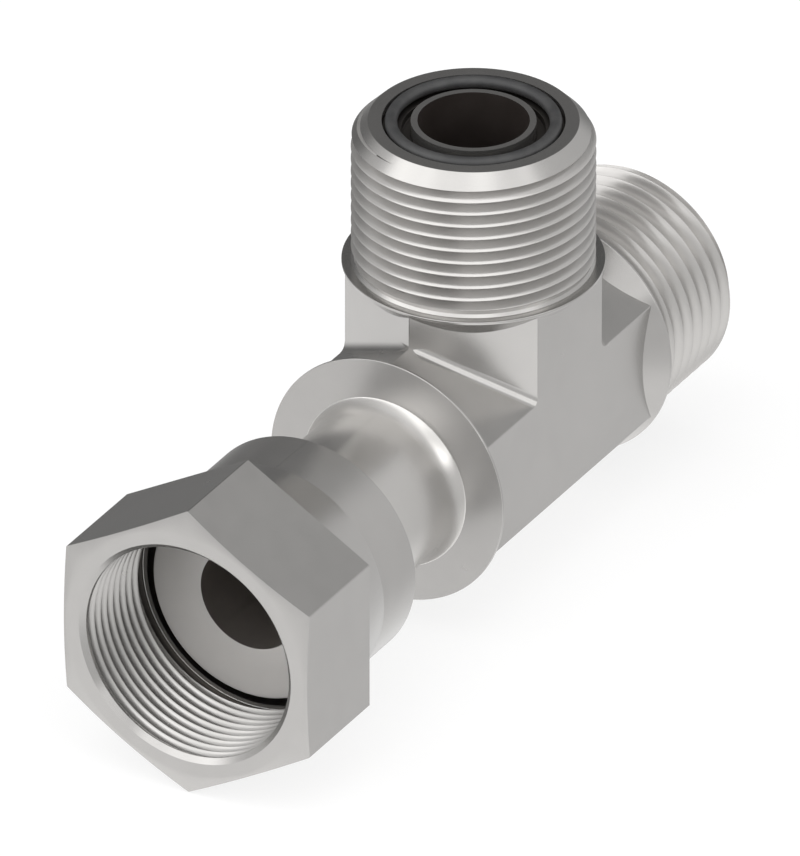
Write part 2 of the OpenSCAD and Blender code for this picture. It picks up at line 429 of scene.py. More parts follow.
def threaded_rod(name: str, thread: Thread, arm: Arm) -> bpy.types.Object:
    """Builds the closed rod whose surface is a thread.

    Rows of points follow the helix, so a row that has gone once round continues as the same row of
    the next turn.

    Args:
        name: Name of the object.
        thread: The thread's sizes.
        arm: The arm that the rod lies along.

    Returns:
        The rod.
    """
    section = thread.section()
    rows_a_turn = len(section)
    first_turn = math.floor((thread.low - thread.root_at) / thread.pitch) - 1
    last_turn = math.ceil((thread.high - thread.root_at) / thread.pitch) + 1
    rows = (last_turn - first_turn) * rows_a_turn

    def place(row: int, step: int) -> tuple[float, float, float]:
        """Point of a row at a step round the axis."""
        angle = 2 * math.pi * step / THREAD_SEGMENTS
        rise, depth = section[row % rows_a_turn]
        turns = first_turn + row // rows_a_turn + step / THREAD_SEGMENTS
        height = thread.root_at + rise + turns * thread.pitch
        depth *= ramp(height, thread.low, thread.low + thread.fade_low)
        depth *= 1 - ramp(height, thread.high - thread.fade_high, thread.high)
        radius = thread.crest_r - thread.inward * depth
        return radius * math.cos(angle), radius * math.sin(angle), height

    mesh = bmesh.new()
    grid = [
        [mesh.verts.new(place(row, step)) for step in range(THREAD_SEGMENTS)] for row in range(rows)
    ]
    grid += [[mesh.verts.new(place(row, 0))] for row in range(rows, rows + rows_a_turn)]

    def vertex(row: int, step: int) -> bmesh.types.BMVert:
        """Vertex of the row, which goes on as a later row after a full turn."""
        if step == THREAD_SEGMENTS:
            return grid[row + rows_a_turn][0]
        return grid[row][step]

    for row in range(rows - 1):
        for step in range(THREAD_SEGMENTS):
            mesh.faces.new((
                vertex(row, step), vertex(row, step + 1), vertex(row + 1, step + 1), vertex(row + 1, step)
            ))
    bottom = [grid[0][step] for step in range(THREAD_SEGMENTS)]
    bottom += [grid[row][0] for row in range(rows_a_turn, 0, -1)]
    top = [grid[rows - 1][step] for step in range(THREAD_SEGMENTS)]
    top += [grid[row][0] for row in range(rows + rows_a_turn - 1, rows - 1, -1)]
    for loop, shift in ((bottom, -PAST), (top, PAST)):
        heights = [corner.co.z for corner in loop]
        middle = mesh.verts.new((0, 0, (min(heights) if shift < 0 else max(heights)) + shift))
        for index, corner in enumerate(loop):
            mesh.faces.new((corner, loop[(index + 1) % len(loop)], middle))
    return solid(mesh, name, arm.turn)


def combine(base: bpy.types.Object, how: Cut, others: Sequence[bpy.types.Object]) -> bpy.types.Object:
    """Joins, cuts or crosses a solid with others, which are used up.

    Args:
        base: The solid that is changed.
        how: The way they are combined.
        others: The other solids.

    Returns:
        The changed solid.
    """
    for other in others:
        step = base.modifiers.new(how.name, "BOOLEAN")
        step.operation = how.value
        step.solver = "MANIFOLD"
        step.object = other
    bake(base)
    for other in others:
        spare = other.data
        bpy.data.objects.remove(other)
        bpy.data.meshes.remove(spare)
    return base


def bake(made: bpy.types.Object) -> None:
    """Applies an object's modifiers to its mesh."""
    graph = bpy.context.evaluated_depsgraph_get()
    before = made.data
    made.data = bpy.data.meshes.new_from_object(made.evaluated_get(graph))
    made.data.name = before.name
    made.modifiers.clear()
    bpy.data.meshes.remove(before)


def tidy(made: bpy.types.Object) -> None:
    """Merges flat faces, drops specks, scales to metres and sets smooth shading with sharp edges."""
    mesh = bmesh.new()
    mesh.from_mesh(made.data)
    bmesh.ops.remove_doubles(mesh, verts=mesh.verts, dist=MERGE)
    bmesh.ops.dissolve_degenerate(mesh, edges=mesh.edges, dist=MERGE)
    bmesh.ops.dissolve_limit(
        mesh, angle_limit=math.radians(FLAT_DEGREES), verts=mesh.verts, edges=mesh.edges
    )
    mesh.to_mesh(made.data)
    mesh.free()
    made.data.transform(Matrix.Scale(MM, 4))
    for polygon in made.data.polygons:
        polygon.use_smooth = True
    made.data.set_sharp_from_angle(angle=math.radians(SHARP_DEGREES))
    weigh = made.modifiers.new("weigh", "WEIGHTED_NORMAL")
    weigh.keep_sharp = True
    bake(made)


class Graph:
    """Adds and joins the nodes of one node tree."""

    def __init__(self, tree: bpy.types.NodeTree) -> None:
        """Keeps the tree, empty."""
        self.tree = tree
        tree.nodes.clear()

    def add(
        self, kind: str, inputs: dict[str | int, object] | None = None, **fields: object
    ) -> bpy.types.Node:
        """Adds a node.

        Args:
            kind: The node's type.
            inputs: Values or sockets for its inputs, by name or number.
            **fields: Other properties of the node.

        Returns:
            The node.
        """
        node = self.tree.nodes.new(kind)
        for name, value in fields.items():
            setattr(node, name, value)
        for key, value in (inputs or {}).items():
            if isinstance(value, bpy.types.NodeSocket):
                self.tree.links.new(value, node.inputs[key])
            else:
                node.inputs[key].default_value = value
        return node

    def value(self, operation: str, *inputs: object) -> bpy.types.NodeSocket:
        """Adds a Math node and gives its result."""
        return self.add("ShaderNodeMath", dict(enumerate(inputs)), operation=operation).outputs[0]

    def dot(self, vector: bpy.types.NodeSocket, direction: Sequence[float]) -> bpy.types.NodeSocket:
        """Adds the dot product of a vector and a fixed direction."""
        node = self.add("ShaderNodeVectorMath", {0: vector, 1: direction}, operation="DOT_PRODUCT")
        return node.outputs["Value"]

    def span(
        self, value: object, low: float, high: float, first: float, last: float
    ) -> bpy.types.NodeSocket:
        """Maps a value smoothly from one range to another."""
        return self.add(
            "ShaderNodeMapRange",
            {"Value": value, "From Min": low, "From Max": high, "To Min": first, "To Max": last},
            interpolation_type="SMOOTHSTEP",
        ).outputs["Result"]

    def mix(self, share: object, first: object, second: object) -> bpy.types.NodeSocket:
        """Mixes two colours."""
        node = self.add("ShaderNodeMix", {"Factor": share}, data_type="RGBA")
        for key, value in ((6, first), (7, second)):
            if isinstance(value, bpy.types.NodeSocket):
                self.tree.links.new(value, node.inputs[key])
            else:
                node.inputs[key].default_value = (*value, 1.0)
        return node.outputs[2]


# Scales of the effects, for places in metres.
CLOUD_SCALE = 38.0
FLECK_SCALE = 260.0
TURNING_SCALE = 5200.0
BLOOM_SCALE = 300.0
# The clouds' share of the plating's tone. The flecks have the rest.
CLOUD_SHARE = 0.65
PLATING_BUMP = 0.35
RUBBER_BUMP = 0.4
RUBBER_SPREAD = 0.12


def plating_group() -> bpy.types.NodeTree:
    """Makes the shared group for plated metal: cloudy tone, fine grain and turning marks.

    Returns:
        A group that puts out Tone (0 to 1), Gloss (-1 to 1) and Height (0 to 1). Travel is what
        the turning marks follow, and Turning is how strong they are.
    """
    tree = bpy.data.node_groups.new("plating", "ShaderNodeTree")
    tree.interface.new_socket("Vector", in_out="INPUT", socket_type="NodeSocketVector")
    for name in ("Travel", "Grain Scale", "Turning"):
        tree.interface.new_socket(name, in_out="INPUT", socket_type="NodeSocketFloat")
    for name in ("Tone", "Gloss", "Height"):
        tree.interface.new_socket(name, in_out="OUTPUT", socket_type="NodeSocketFloat")
    graph = Graph(tree)
    entry = graph.add("NodeGroupInput").outputs
    clouds = graph.add(
        "ShaderNodeTexNoise", {"Vector": entry["Vector"], "Scale": CLOUD_SCALE, "Detail": 4.0}
    )
    flecks = graph.add(
        "ShaderNodeTexNoise", {"Vector": entry["Vector"], "Scale": FLECK_SCALE, "Detail": 5.0}
    )
    grain = graph.add(
        "ShaderNodeTexNoise", {"Vector": entry["Vector"], "Scale": entry["Grain Scale"], "Detail": 3.0}
    )
    lines = graph.add(
        "ShaderNodeTexNoise", {"W": entry["Travel"], "Scale": TURNING_SCALE, "Detail": 2.0},
        noise_dimensions="1D",
    )
    cloudy = graph.value("MULTIPLY", clouds.outputs[0], CLOUD_SHARE)
    tone = graph.value("MULTIPLY_ADD", flecks.outputs[0], 1 - CLOUD_SHARE, cloudy)
    turned = graph.value("MULTIPLY", lines.outputs[0], entry["Turning"])
    height = graph.value("MULTIPLY_ADD", grain.outputs[0], 0.5, turned)
    gloss = graph.value("MULTIPLY_ADD", flecks.outputs[0], 2.0, -1.0)
    graph.add("NodeGroupOutput", {
        "Tone": graph.span(tone, 0.3, 0.7, 0.0, 1.0), "Gloss": gloss, "Height": height,
    })
    return tree


@dataclass
class Paints:
    """Makes each finish's material once, with one shared group for the plating."""

    plating: bpy.types.NodeTree = field(default_factory=plating_group)
    made: dict[str, bpy.types.Material] = field(default_factory=dict)

    def of(self, finish: Finish) -> bpy.types.Material:
        """Gives the material of a finish.

        Args:
            finish: The finish's numbers.

        Returns:
            The material, made at its first use.
        """
        if finish.name in self.made:
            return self.made[finish.name]
        material = bpy.data.materials.new(finish.name)
        material.use_nodes = True
        graph = Graph(material.node_tree)
        place = graph.add("ShaderNodeTexCoord").outputs["Object"]
        paint = self.metal if isinstance(finish, MetalFinish) else self.rubber
        surface = graph.add("ShaderNodeBsdfPrincipled", paint(graph, place, finish))
        graph.add("ShaderNodeOutputMaterial", {"Surface": surface.outputs[0]})
        self.made[finish.name] = material
        return material

    def metal(
        self, graph: Graph, place: bpy.types.NodeSocket, finish: MetalFinish
    ) -> dict[str, object]:
        """Adds the nodes of a metal finish.

        Args:
            graph: The material's nodes.
            place: The place on the piece.
            finish: The finish's numbers.

        Returns:
            What the shader's inputs get.
        """
        split = graph.add("ShaderNodeSeparateXYZ", {0: place}).outputs
        axis = finish.turning_axis or "X"
        first, second = (
            graph.value("MULTIPLY", split[name], split[name]) for name in "XYZ" if name != axis
        )
        off_axis = graph.value("SQRT", graph.value("ADD", first, second))
        effect = graph.add("ShaderNodeGroup", node_tree=self.plating)
        graph.tree.links.new(place, effect.inputs["Vector"])
        graph.tree.links.new(graph.value("ADD", split[axis], off_axis), effect.inputs["Travel"])
        effect.inputs["Grain Scale"].default_value = finish.grain_scale
        effect.inputs["Turning"].default_value = 0.5 if finish.turning_axis else 0.0
        roughness = graph.value(
            "MULTIPLY_ADD", effect.outputs["Gloss"], finish.roughness_spread, finish.roughness
        )
        bump = graph.add("ShaderNodeBump", {
            "Strength": PLATING_BUMP, "Distance": finish.grain_height,
            "Height": effect.outputs["Height"],
        })
        return {
            "Base Color": graph.mix(effect.outputs["Tone"], finish.dark, finish.light),
            "Metallic": finish.metallic, "Roughness": roughness, "Normal": bump.outputs[0],
        }

    def rubber(
        self, graph: Graph, place: bpy.types.NodeSocket, finish: RubberFinish
    ) -> dict[str, object]:
        """Adds the nodes of a rubber finish.

        Args:
            graph: The material's nodes.
            place: The place on the piece.
            finish: The finish's numbers.

        Returns:
            What the shader's inputs get.
        """
        bloom = graph.add(
            "ShaderNodeTexNoise", {"Vector": place, "Scale": BLOOM_SCALE, "Detail": 4.0}
        )
        grain = graph.add(
            "ShaderNodeTexNoise", {"Vector": place, "Scale": finish.grain_scale, "Detail": 3.0}
        )
        tone = graph.span(bloom.outputs[0], 0.35, 0.65, 0.0, 1.0)
        roughness = graph.value(
            "MULTIPLY_ADD", grain.outputs[0], RUBBER_SPREAD, finish.roughness - RUBBER_SPREAD / 2
        )
        bump = graph.add("ShaderNodeBump", {
            "Strength": RUBBER_BUMP, "Distance": finish.grain_height, "Height": grain.outputs[0],
        })
        return {
            "Base Color": graph.mix(tone, finish.dark, finish.light),
            "Roughness": roughness, "Normal": bump.outputs[0],
        }


def dress(
    made: bpy.types.Object,
    paints: Paints,
    finishes: Sequence[Finish],
    choose: Callable[[list[Vector], Vector], Finish],
) -> None:
    """Gives each face of a mesh the material of its finish.

    Args:
        made: The piece.
        paints: Where the materials come from.
        finishes: The finishes on the piece, in the order of its materials.
        choose: Gives a face's finish from its corners in millimetres and its normal.
    """
    made.data.materials.clear()
    for finish in finishes:
        made.data.materials.append(paints.of(finish))
    numbers = {finish.name: number for number, finish in enumerate(finishes)}
    corners = [vertex.co / MM for vertex in made.data.vertices]
    for polygon in made.data.polygons:
        finish = choose([corners[index] for index in polygon.vertices], polygon.normal)
        polygon.material_index = numbers[finish.name]


def in_bore(radii: Sequence[float]) -> bool:
    """Tells whether a face lies on a passage's wall, by how far its corners are from the axis."""
    return max(radii) < BORE_R + NEAR


def off_run(corners: Sequence[Vector]) -> list[float]:
    """Gives each corner's distance from the run's axis."""
    return [math.hypot(corner.y, corner.z) for corner in corners]


def off_branch(corners: Sequence[Vector]) -> list[float]:
    """Gives each corner's distance from the branch's axis."""
    return [math.hypot(corner.x, corner.y) for corner in corners]


@dataclass
class TeeBody:
    """The forged body: hexagonal arms, collars, two threaded male ends and the nut's tail."""

    paints: Paints
    node: str = "tee_body"
    branch_thread: Thread = Thread(
        pitch=2.08, crest_r=18.17, root_at=27.02 + 2.08 * 150 / 360, low=25.3, high=53.0,
        fade_low=0.9, fade_high=0.5,
    )
    run_thread: Thread = Thread(
        pitch=2.77, crest_r=17.87, root_at=36.65, low=25.3, high=53.0, fade_low=1.2, fade_high=0.5
    )
    branch_chamfer: float = 2.5
    run_thread_r: float = 17.85
    run_chamfer: float = 2.2
    # The plain land between a collar and its thread, and the small cone at the land's foot.
    land_r: float = 17.75
    land_end: float = 26.15
    land_step: float = 0.3
    foot_w: float = 0.4
    edge_r: float = 0.2
    # The flare by which the tail grows into its collar.
    flare_w: float = 1.1
    flare_r: float = 6.0
    # The rounded creases between the branch and the run.
    crease_r: float = 1.6
    arc_steps: int = 12
    # Further out than this, a face that faces along its arm is turned, not forged.
    turned_from: float = 18.5

    def land_under(self, thread_r: float) -> float:
        """Radius of the plain land under a thread, a step below its crests."""
        return min(self.land_r, thread_r - self.land_step)

    def male_blank(self, arm: Arm, thread_r: float, chamfer: float) -> bpy.types.Object:
        """Draws the collar's land and the thread's blank of a male end.

        Args:
            arm: The arm that it ends.
            thread_r: Radius of the thread's crests.
            chamfer: Width of the chamfer at the face.

        Returns:
            The blank.
        """
        land_r = self.land_under(thread_r)
        return revolve(f"{self.node}_blank", soften([
            Corner(0, COLLAR_AT - RIM_W),
            Corner(land_r, COLLAR_AT - RIM_W),
            Corner(land_r, self.land_end, 0.1),
            Corner(thread_r, self.land_end + thread_r - land_r, 0.08),
            Corner(thread_r, END_REACH - chamfer, 0.06),
            Corner(thread_r - chamfer, END_REACH, 0.06),
            Corner(0, END_REACH),
        ]), arm)

    def collar(self, arm: Arm, radius: float, shoulder: float) -> bpy.types.Object:
        """Draws a round collar with a 45 degree underside.

        Args:
            arm: The arm that carries it.
            radius: Radius of its rim.
            shoulder: Distance of its shoulder from the tee's centre.

        Returns:
            The collar.
        """
        drop = radius - CONE_ROOT_R
        return revolve(f"{self.node}_collar", soften([
            Corner(0, shoulder - RIM_W - drop),
            Corner(CONE_ROOT_R, shoulder - RIM_W - drop),
            Corner(radius, shoulder - RIM_W, 0.12),
            Corner(radius, shoulder, 0.1),
            Corner(0, shoulder),
        ]), arm)

    def male_end(self, arm: Arm, thread: Thread, thread_r: float, chamfer: float) -> bpy.types.Object:
        """Draws a threaded male end with its collar.

        Args:
            arm: The arm that it ends.
            thread: The thread.
            thread_r: Radius of the blank.
            chamfer: Width of the chamfer at the face.

        Returns:
            The male end.
        """
        rod = threaded_rod(f"{self.node}_rod", thread, arm)
        end = combine(self.male_blank(arm, thread_r, chamfer), Cut.KEEP, [rod])
        land_r = self.land_under(thread_r)
        foot = revolve(f"{self.node}_foot", soften([
            Corner(0, COLLAR_AT - RIM_W),
            Corner(land_r, COLLAR_AT - RIM_W),
            Corner(land_r + self.foot_w, COLLAR_AT - 0.02),
            Corner(land_r + self.foot_w, COLLAR_AT),
            Corner(land_r, COLLAR_AT + self.foot_w),
            Corner(0, COLLAR_AT + self.foot_w),
        ]), arm)
        return combine(end, Cut.JOIN, [self.collar(arm, COLLAR_R, COLLAR_AT), foot])

    def tail(self) -> bpy.types.Object:
        """Draws the tail's collar, flared neck and spigot."""
        width, radius = self.flare_w, self.flare_r
        face = TAIL_COLLAR_AT + FACE_RISE
        end = math.acos((radius - width) / radius)
        angles = [end * (1 - step / self.arc_steps) for step in range(self.arc_steps + 1)]
        flare = [
            Corner(
                TAIL_R + radius - radius * math.cos(angle),
                face + radius * (math.sin(end) - math.sin(angle)),
            )
            for angle in angles
        ]
        neck = revolve(f"{self.node}_neck", soften([
            Corner(0, TAIL_COLLAR_AT - RIM_W),
            Corner(TAIL_COLLAR_R - 0.1, TAIL_COLLAR_AT - RIM_W),
            Corner(TAIL_COLLAR_R - 0.1, TAIL_COLLAR_AT, 0.05),
            Corner(TAIL_R + width + 0.02, face, 0.25),
            *flare[1:],
            Corner(TAIL_R, NECK_END, 0.1),
            Corner(SPIGOT_R, NECK_END),
            Corner(SPIGOT_R, SPIGOT_END, 0.1),
            Corner(0, SPIGOT_END),
        ]), Arm.TAIL)
        return combine(neck, Cut.JOIN, [self.collar(Arm.TAIL, TAIL_COLLAR_R, TAIL_COLLAR_AT)])

    def creases(self) -> list[bpy.types.Object]:
        """Draws the four rounded filler bars between the branch and the run."""
        radius = self.crease_r
        corner_r = BODY_AF / math.sqrt(3)
        # Half the open angle between two flats, and the angle to the plane y = 0 of their crease.
        half = math.atan(math.sqrt(5 / 3))
        tilt = math.atan(math.sqrt(3 / 2))
        reach = radius / math.tan(half)
        run_out = corner_r * math.sqrt(5) / 2 + radius
        arc_centre = -radius / math.sin(half)
        points = [(-reach * math.sin(half), -reach * math.cos(half))]
        start = math.atan2(points[0][1] - arc_centre, points[0][0])
        for step in range(1, self.arc_steps):
            angle = start + (math.pi - 2 * start) * step / self.arc_steps
            points.append((radius * math.cos(angle), arc_centre + radius * math.sin(angle)))
        points.append((-points[0][0], points[0][1]))
        points.append((0, radius / 4))
        bars = []
        depth = -BODY_AF / 2
        quarter = [(-corner_r, depth), (0.0, depth), (0.0, 0.0), (-corner_r, 0.0)]
        place = (
            Matrix.Translation((-corner_r, 0, corner_r))
            @ Matrix.Rotation(math.radians(-45), 4, "Y")
            @ Matrix.Rotation(-tilt, 4, "X")
        )
        for front in (1, -1):
            for side in (1, -1):
                bar = prism(f"{self.node}_crease", points, -run_out, radius * 2, place)
                keep = prism(f"{self.node}_keep", quarter, 0, corner_r, Matrix.Identity(4))
                bar = combine(bar, Cut.KEEP, [keep])
                bar.data.transform(Matrix.Diagonal((front, side, 1, 1)))
                if front * side < 0:
                    bar.data.flip_normals()
                bars.append(bar)
        return bars

    def passages(self) -> list[bpy.types.Object]:
        """Draws what is cut out: bores, ring grooves and their pockets."""
        cuts = []
        for arm, reach in ((Arm.BRANCH, END_REACH), (Arm.RUN, END_REACH), (Arm.TAIL, SPIGOT_END)):
            cuts.append(revolve(f"{self.node}_bore", soften([
                Corner(0, 0), Corner(BORE_R, 0), Corner(BORE_R, reach + PAST), Corner(0, reach + PAST),
            ]), arm))
        for arm in (Arm.BRANCH, Arm.RUN):
            cuts.append(revolve(f"{self.node}_groove", soften([
                Corner(LIP_R, END_REACH - POCKET_DEEP, 0.15),
                Corner(LIP_R + POCKET_W, END_REACH - POCKET_DEEP, 0.15),
                Corner(LIP_R + POCKET_W, END_REACH - GROOVE_DEEP, 0.08),
                Corner(GROOVE_R, END_REACH - GROOVE_DEEP, 0.15),
                Corner(GROOVE_R, END_REACH + PAST),
                Corner(LIP_R, END_REACH + PAST),
            ]), arm))
        return cuts

    def build(self) -> bpy.types.Object:
        """Builds and dresses the body, which replaces its construction solid."""
        outline = hexagon(BODY_AF / 2, self.edge_r)
        piece = prism("tee_body_forged", outline, 0, COLLAR_AT - RIM_W, Arm.BRANCH.turn)
        run = prism(
            f"{self.node}_run", outline, -TAIL_COLLAR_AT + RIM_W, COLLAR_AT - RIM_W, Arm.RUN.turn
        )
        ends = [
            self.male_end(Arm.BRANCH, self.branch_thread, THREAD_R, self.branch_chamfer),
            self.male_end(Arm.RUN, self.run_thread, self.run_thread_r, self.run_chamfer),
        ]
        combine(piece, Cut.JOIN, [run, *self.creases(), self.tail(), *ends])
        combine(piece, Cut.TAKE, self.passages())
        tidy(piece)
        finishes = (
            PLATED_FLAT, PLATED_BRANCH, PLATED_RUN, BORE_STEEL, THREAD_BRANCH_LIT, THREAD_RUN_LIT, THREAD_ROOT_SHADE,
            DEEP_BORE_SHADE, TURNED_NECK_LIT, TURNED_FACE, RECESS_SHADE,
        )
        dress(piece, self.paints, finishes, self.finish_of)
        return piece

    def male_finish(
        self, heights: list[float], radii: list[float], thread: Thread, plain: MetalFinish, cut: MetalFinish
    ) -> MetalFinish | None:
        """Tells the surfaces of a male end apart.

        Args:
            heights: How far along the arm each corner of the face is.
            radii: How far from the arm's axis each corner is.
            thread: The end's thread.
            plain: Finish of the end's crests and chamfer.
            cut: Finish of the thread's flanks.

        Returns:
            The face's finish, or None where it isn't in the seal groove or on the thread.
        """
        low, high, inner = min(heights), max(heights), min(radii)
        in_groove = END_REACH - POCKET_DEEP - NEAR < low and high < END_REACH - NEAR
        # The seal groove and its pocket get painted shade.
        if in_groove and inner > LIP_R - NEAR and max(radii) < GROOVE_R + NEAR:
            return RECESS_SHADE
        thread_from, thread_to, core_r = COLLAR_AT + 0.3, END_REACH - 0.1, GROOVE_R + 0.9
        if low <= thread_from or high >= thread_to or inner <= core_r:
            return None
        # Faces at the bottom of the groove get painted shade.
        if all(thread.in_root(radius) for radius in radii):
            return THREAD_ROOT_SHADE
        # On a 45 degree chamfer a corner's height and radius add up to the same at every point.
        chamfer_sum = THREAD_R + END_REACH - self.branch_chamfer - 0.05
        crest_from = thread.crest_r - 0.03
        on_chamfer = min(map(sum, zip(heights, radii))) > chamfer_sum
        return plain if on_chamfer or inner > crest_from else cut

    def finish_of(self, corners: list[Vector], normal: Vector) -> MetalFinish:
        """Tells the bores, threads, turned surfaces and flats apart by where a face lies."""
        from_branch, from_run = off_branch(corners), off_run(corners)
        along_run, rises = [corner.x for corner in corners], [corner.z for corner in corners]
        if in_bore(from_run) or in_bore(from_branch):
            # The tail's bore keeps the bore steel; the bores deep in the body get painted shade.
            return BORE_STEEL if min(along_run) < -TAIL_COLLAR_AT else DEEP_BORE_SHADE
        # The neck gets the lightened plating, painted light.
        if max(along_run) < -TAIL_COLLAR_AT - FACE_RISE + NEAR:
            return TURNED_NECK_LIT
        if max(along_run) < -TAIL_COLLAR_AT + NEAR and normal.x < -SQUARE_ON:
            return TURNED_FACE
        male = self.male_finish(rises, from_branch, self.branch_thread, PLATED_BRANCH, THREAD_BRANCH_LIT)
        male = male or self.male_finish(along_run, from_run, self.run_thread, PLATED_RUN, THREAD_RUN_LIT)
        if male:
            return male
        reach = max(abs(place) for place in along_run)
        if max(rises) > COLLAR_AT - RIM_W or (max(rises) > self.turned_from and abs(normal.z) > ON_CONE):
            return PLATED_BRANCH
        if reach > COLLAR_AT - RIM_W + NEAR or (reach > self.turned_from and abs(normal.x) > ON_CONE):
            return PLATED_RUN
        return PLATED_FLAT


@dataclass
class SealSleeve:
    """The face seal sleeve on the end of the tail."""

    paints: Paints
    node: str = "seal_sleeve"
    braze_gap: float = 0.05

    def build(self) -> bpy.types.Object:
        """Builds and dresses the sleeve, which replaces its construction solid."""
        piece = revolve("seal_sleeve_turned", soften([
            Corner(SPIGOT_R + self.braze_gap, NECK_END),
            Corner(SLEEVE_R, NECK_END, 0.2),
            Corner(SLEEVE_R, SLEEVE_FACE, 0.25),
            Corner(BORE_R, SLEEVE_FACE),
            Corner(BORE_R, SPIGOT_END),
            Corner(SPIGOT_R + self.braze_gap, SPIGOT_END),
        ]), Arm.TAIL)
        tidy(piece)
        # The sleeve's outside gets the lightened plating, painted light.
        dress(
            piece, self.paints, (SLEEVE_PAINTED_LIGHT, BORE_STEEL),
            lambda corners, normal: BORE_STEEL if in_bore(off_run(corners)) else SLEEVE_PAINTED_LIGHT,
        )
        return piece


@dataclass
class SwivelNut:
    """The hexagonal nut that turns on the tail, with its inside thread."""

    paints: Paints
    node: str = "swivel_nut"
    thread: Thread = Thread(
        pitch=1.785, crest_r=17.18, root_at=NUT_FRONT - 1.785 * 195 / 360, low=67.3,
        high=NUT_FRONT - 0.75, fade_low=0.6, fade_high=1.2, inward=-1.0, flank_degrees=62.0,
        crest_degrees=43.0, straight_share=0.65, root_share=0.16,
    )
    edge_r: float = 0.25
    # The hexagon's front chamfer starts this far inside the flats.
    washer_w: float = 0.7
    chamfer_degrees: float = 14.0
    # The round hub behind the hexagon, and the end of the cone that joins them.
    hub_r: float = 18.28
    hub_chamfer: float = 0.5
    cone_r: float = 20.3
    # Inside, from the back: the bore on the tail, the sleeve's chamber and the thread's relief.
    clearance: float = 0.08
    lead_in: float = 0.4
    chamber_back: float = 62.0
    chamber_r: float = 17.85
    relief_back: float = 65.15
    relief_front: float = 67.75
    relief_r: float = 18.6
    # Where the thread's rod is cut off, inside the relief.
    thread_back: float = 67.0
    mouth_w: float = 0.8

    def outside(self) -> bpy.types.Object:
        """Draws the hexagon with its front chamfer, the shoulder and the hub."""
        corner = NUT_FLAT_R * 2 / math.sqrt(3)
        washer_r = NUT_FLAT_R - self.washer_w
        drop = (corner + PAST - washer_r) * math.tan(math.radians(self.chamfer_degrees))
        piece = prism(
            "swivel_nut_machined", hexagon(NUT_FLAT_R, self.edge_r), HEX_BACK, NUT_FRONT, Arm.TAIL.turn
        )
        cone = revolve(f"{self.node}_cone", soften([
            Corner(0, HEX_BACK - PAST),
            Corner(corner + PAST, HEX_BACK - PAST),
            Corner(corner + PAST, NUT_FRONT - drop),
            Corner(washer_r, NUT_FRONT),
            Corner(0, NUT_FRONT),
        ]), Arm.TAIL)
        combine(piece, Cut.KEEP, [cone])
        hub = revolve(f"{self.node}_hub", soften([
            Corner(0, NUT_BACK),
            Corner(self.hub_r - self.hub_chamfer, NUT_BACK, 0.1),
            Corner(self.hub_r, NUT_BACK + self.hub_chamfer, 0.1),
            Corner(self.hub_r, HUB_FRONT, 1.0),
            Corner(self.cone_r, HEX_BACK),
            Corner(self.cone_r, HEX_BACK + PAST),
            Corner(0, HEX_BACK + PAST),
        ]), Arm.TAIL)
        return combine(piece, Cut.JOIN, [hub])

    def inside(self) -> list[bpy.types.Object]:
        """Draws what is bored out of the nut, with its thread."""
        tail_r = TAIL_R + self.clearance
        bore = revolve(f"{self.node}_inside", soften([
            Corner(0, NUT_BACK - PAST),
            Corner(TAIL_R + self.clearance + self.lead_in, NUT_BACK - PAST),
            Corner(TAIL_R + self.clearance + self.lead_in, NUT_BACK),
            Corner(tail_r, NUT_BACK + self.lead_in),
            Corner(tail_r, self.chamber_back),
            Corner(self.chamber_r, self.chamber_back, 0.3),
            Corner(self.chamber_r, self.relief_back),
            Corner(self.relief_r, self.relief_back, 0.2),
            Corner(self.relief_r, self.relief_front, 0.2),
            Corner(NUT_MINOR_R, self.relief_front, 0.1),
            Corner(NUT_MINOR_R, NUT_FRONT - self.mouth_w, 0.05),
            Corner(NUT_MINOR_R + self.mouth_w, NUT_FRONT),
            Corner(NUT_MINOR_R + self.mouth_w, NUT_FRONT + PAST),
            Corner(0, NUT_FRONT + PAST),
        ]), Arm.TAIL)
        return [bore, threaded_rod(f"{self.node}_rod", self.thread, Arm.TAIL)]

    def build(self) -> bpy.types.Object:
        """Builds and dresses the nut, which replaces its construction solid."""
        piece = self.outside()
        bore, rod = self.inside()
        reach = prism(
            f"{self.node}_reach", hexagon(NUT_FLAT_R + PAST, 0.0), self.thread_back,
            NUT_FRONT + PAST * 2, Arm.TAIL.turn,
        )
        combine(rod, Cut.KEEP, [reach])
        combine(piece, Cut.TAKE, [bore, rod])
        tidy(piece)
        finishes = (PLATED_FLAT, PLATED_RUN, NUT_THREAD, THREAD_ROOT_SHADE, RECESS_SHADE)
        dress(piece, self.paints, finishes, self.finish_of)
        return piece

    def finish_of(self, corners: list[Vector], normal: Vector) -> MetalFinish:
        """Tells the hexagon's flats, the thread and the relief behind it from turned surfaces."""
        radii = off_run(corners)
        if min(radii) > NUT_FLAT_R - NEAR and abs(normal.x) < 0.02:
            return PLATED_FLAT
        if max(radii) > self.relief_r + 0.6:
            return PLATED_RUN
        reach = max(-corner.x for corner in corners)
        if reach < self.relief_front + 0.05:
            # The walls of the relief and the chamber get painted shade.
            shaded_recess = abs(normal.x) < 0.7 and reach > self.chamber_back - 0.1
            return RECESS_SHADE if shaded_recess else PLATED_RUN
        if reach > NUT_FRONT - self.mouth_w - 0.05 and min(radii) > NUT_MINOR_R:
            return PLATED_RUN
        # Faces at the bottom of the nut's thread get painted shade; the rest of the thread keeps the
        # plating.
        return THREAD_ROOT_SHADE if all(self.thread.in_root(radius) for radius in radii) else NUT_THREAD


